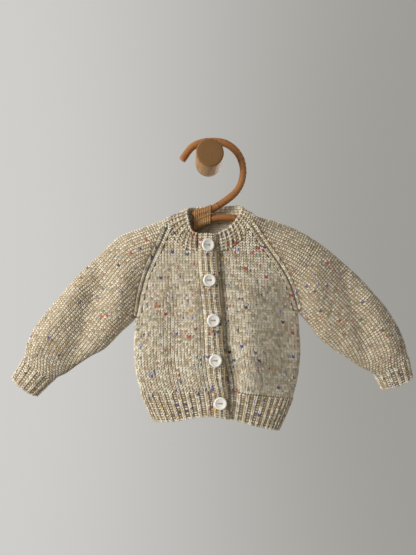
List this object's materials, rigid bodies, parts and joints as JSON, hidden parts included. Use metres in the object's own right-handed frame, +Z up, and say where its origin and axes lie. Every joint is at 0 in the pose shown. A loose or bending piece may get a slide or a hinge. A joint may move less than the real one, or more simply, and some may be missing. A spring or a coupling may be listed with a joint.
{
  "type": "baby cardigan on a cane hanger and wall peg",
  "caption": "Hand-knitted raglan baby cardigan in flecked cream wool, buttoned and hung on a bent cane hanger from a round wooden wall peg, to store or show it on a wall.",
  "frame": {"origin": "centre of the wall peg's back face, where it meets the wall", "axes": "+X along the wall towards the wearer's left sleeve, +Y into the wall, +Z up"},
  "size_m": [0.5367, 0.062, 0.393],
  "materials": {
    "wool": "hand-knitted cream tweed wool with coloured flecks, matt and slightly fuzzy",
    "shell": "pearly white polished buttons",
    "cane": "varnished golden brown bent cane",
    "cane_strip": "paler split cane binding",
    "peg_wood": "plain oiled light wood"
  },
  "bodies": {
    "root": {"right_front": "wool", "right_front_hem": "wool", "right_sleeve": "wool", "right_cuff": "wool", "left_front": "wool", "left_front_hem": "wool", "left_sleeve": "wool", "left_cuff": "wool", "back": "wool", "back_hem": "wool", "neckband": "wool", "buttonhole_band": "wool", "button_band": "wool", "button_1": "shell", "button_2": "shell", "button_3": "shell", "button_4": "shell", "button_5": "shell", "hanger_hook": "cane", "hanger_bar": "cane", "hanger_binding": "cane_strip", "wall_peg": "peg_wood"}
  },
  "joints": []
}
